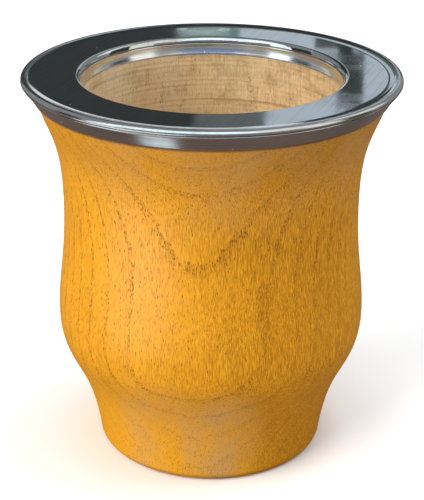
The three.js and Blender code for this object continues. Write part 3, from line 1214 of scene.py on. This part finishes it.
def add_lamps(stage):
    """Hang the three large lamps, and a small one for the gloss on the belly."""
    middle = (0.0, 0.0, 0.05)
    mouth = (0.0, 0.0, 0.09)
    belly_side = (-0.0165, -0.034, 0.045)
    studio_lamp("key_lamp", (-1.75, -1.25, 1.7), middle, 2.2, stage.key_power, WARM_LIGHT)
    studio_lamp("fill_lamp", (2.2, 0.1, 1.0), middle, 1.6, stage.fill_power, COOL_LIGHT)
    studio_lamp("top_lamp", (0.4, 0.1, 2.0), mouth, 1.5, stage.top_power, COOL_LIGHT)
    gloss_place = (-0.1155, -0.105, 0.006)
    gloss = studio_lamp("gloss_lamp", gloss_place, belly_side, 0.05, stage.gloss_power, WARM_LIGHT)
    gloss.data.spread = stage.gloss_spread
    gloss.visible_glossy = True
    gloss.visible_diffuse = False


def add_table(stage):
    """Lay the dark table that the steel mirrors, and two patches of light on it."""
    table = Finish("table_card").surface({
        "Base Color": opaque(stage.table_colour),
        "Roughness": TABLE_ROUGHNESS,
    })
    light = glowing_material("table_light", (1.0, 0.99, 0.96), 1.7)
    gleam = glowing_material("table_gleam", (0.85, 0.95, 1.0), 1.5)
    table_card("table_card", table, (0.0, 0.0, TABLE_HEIGHT), (TABLE_RADIUS, TABLE_RADIUS), corners=64)
    table_card("table_light", light, (-0.3, -0.26, PATCH_HEIGHT), (0.24, 0.22), corners=48)
    table_card("table_gleam", gleam, (-0.044, -0.05, PATCH_HEIGHT), (0.02, 0.008), corners=48)


def add_cards():
    """Stand all upright cards round the cup."""
    glows = {name: glowing_material(f"{name}_card", *glow) for name, glow in CARD_GLOWS.items()}
    rows = []
    for name, middle, low, high, left, right in ROWS_BEHIND:
        rows.append(Card(f"dark_card_{name}", "dark", 0.0, ROW_DISTANCE, ROW_LEFT, left, low, high))
        rows.append(Card(f"middle_card_{name}", middle, 0.0, ROW_DISTANCE, left, right, low, high))
        rows.append(Card(f"pale_card_{name}", "pale", 0.0, ROW_DISTANCE, right, ROW_RIGHT, low, high))
    for card in (*rows, *CARDS):
        studio_card(card, glows[card.glow])


def add_camera(stage):
    """Set up the camera in front of the cup and above it."""
    aim = Vector((0.0, 0.0, stage.camera_aim))
    back = stage.camera_distance * math.cos(stage.camera_tilt)
    rise = stage.camera_distance * math.sin(stage.camera_tilt)
    place = aim + Vector((0.0, -back, rise))
    deselect_everything()
    bpy.ops.object.camera_add(location=place)
    camera = bpy.context.object
    camera.name = "photo_camera"
    look = (aim - place).to_track_quat("-Z", "Y").to_matrix()
    camera.rotation_euler = (look @ Matrix.Rotation(stage.camera_roll, 3, "Z")).to_euler()
    camera.data.sensor_width = SENSOR
    camera.data.lens = stage.focal_length
    camera.data.shift_x = SHIFT_PIXELS / PICTURE_HEIGHT
    camera.data.clip_start = CLIP_START
    bpy.context.scene.camera = camera


class MATECUP_OT_stage(bpy.types.Operator):
    """Set up the floor, the lamps, the studio cards and the camera."""

    bl_idname = "matecup.stage"
    bl_label = "Stage"

    def execute(self, context):
        stage = context.scene.cup_stage
        add_floor(stage)
        add_sky(stage)
        add_lamps(stage)
        add_table(stage)
        add_cards()
        add_camera(stage)
        context.scene.view_settings.view_transform = "Standard"
        return {"FINISHED"}


class MATECUP_PT_panel(bpy.types.Panel):
    """Buttons that build the cup piece by piece."""

    bl_idname = "MATECUP_PT_panel"
    bl_label = "Mate cup"
    bl_space_type = "VIEW_3D"
    bl_region_type = "UI"
    bl_category = "Mate cup"

    def draw(self, context):
        for operator in OPERATORS:
            self.layout.operator(operator.bl_idname)


GROUPS = {"cup_sizes": CupSizes, "cup_finishes": CupFinishes, "cup_stage": StageSettings}
OPERATORS = (
    MATECUP_OT_wooden_cup,
    MATECUP_OT_sealing_glue,
    MATECUP_OT_outer_skirt,
    MATECUP_OT_inner_collar,
    MATECUP_OT_rim_plate,
    MATECUP_OT_stage,
)


def register():
    """Register the settings, the operators and the panel."""
    for name, group in GROUPS.items():
        bpy.utils.register_class(group)
        setattr(bpy.types.Scene, name, PointerProperty(type=group))
    for operator in OPERATORS:
        bpy.utils.register_class(operator)
    bpy.utils.register_class(MATECUP_PT_panel)


def unregister():
    """Take the panel, the operators and the settings away again."""
    bpy.utils.unregister_class(MATECUP_PT_panel)
    for operator in reversed(OPERATORS):
        bpy.utils.unregister_class(operator)
    for name, group in GROUPS.items():
        delattr(bpy.types.Scene, name)
        bpy.utils.unregister_class(group)


def main():
    """Build the cup and its stage."""
    register()
    bpy.ops.matecup.wooden_cup()
    bpy.ops.matecup.sealing_glue()
    bpy.ops.matecup.outer_skirt()
    bpy.ops.matecup.inner_collar()
    bpy.ops.matecup.rim_plate()
    bpy.ops.matecup.stage()


if __name__ == "__main__":
    main()
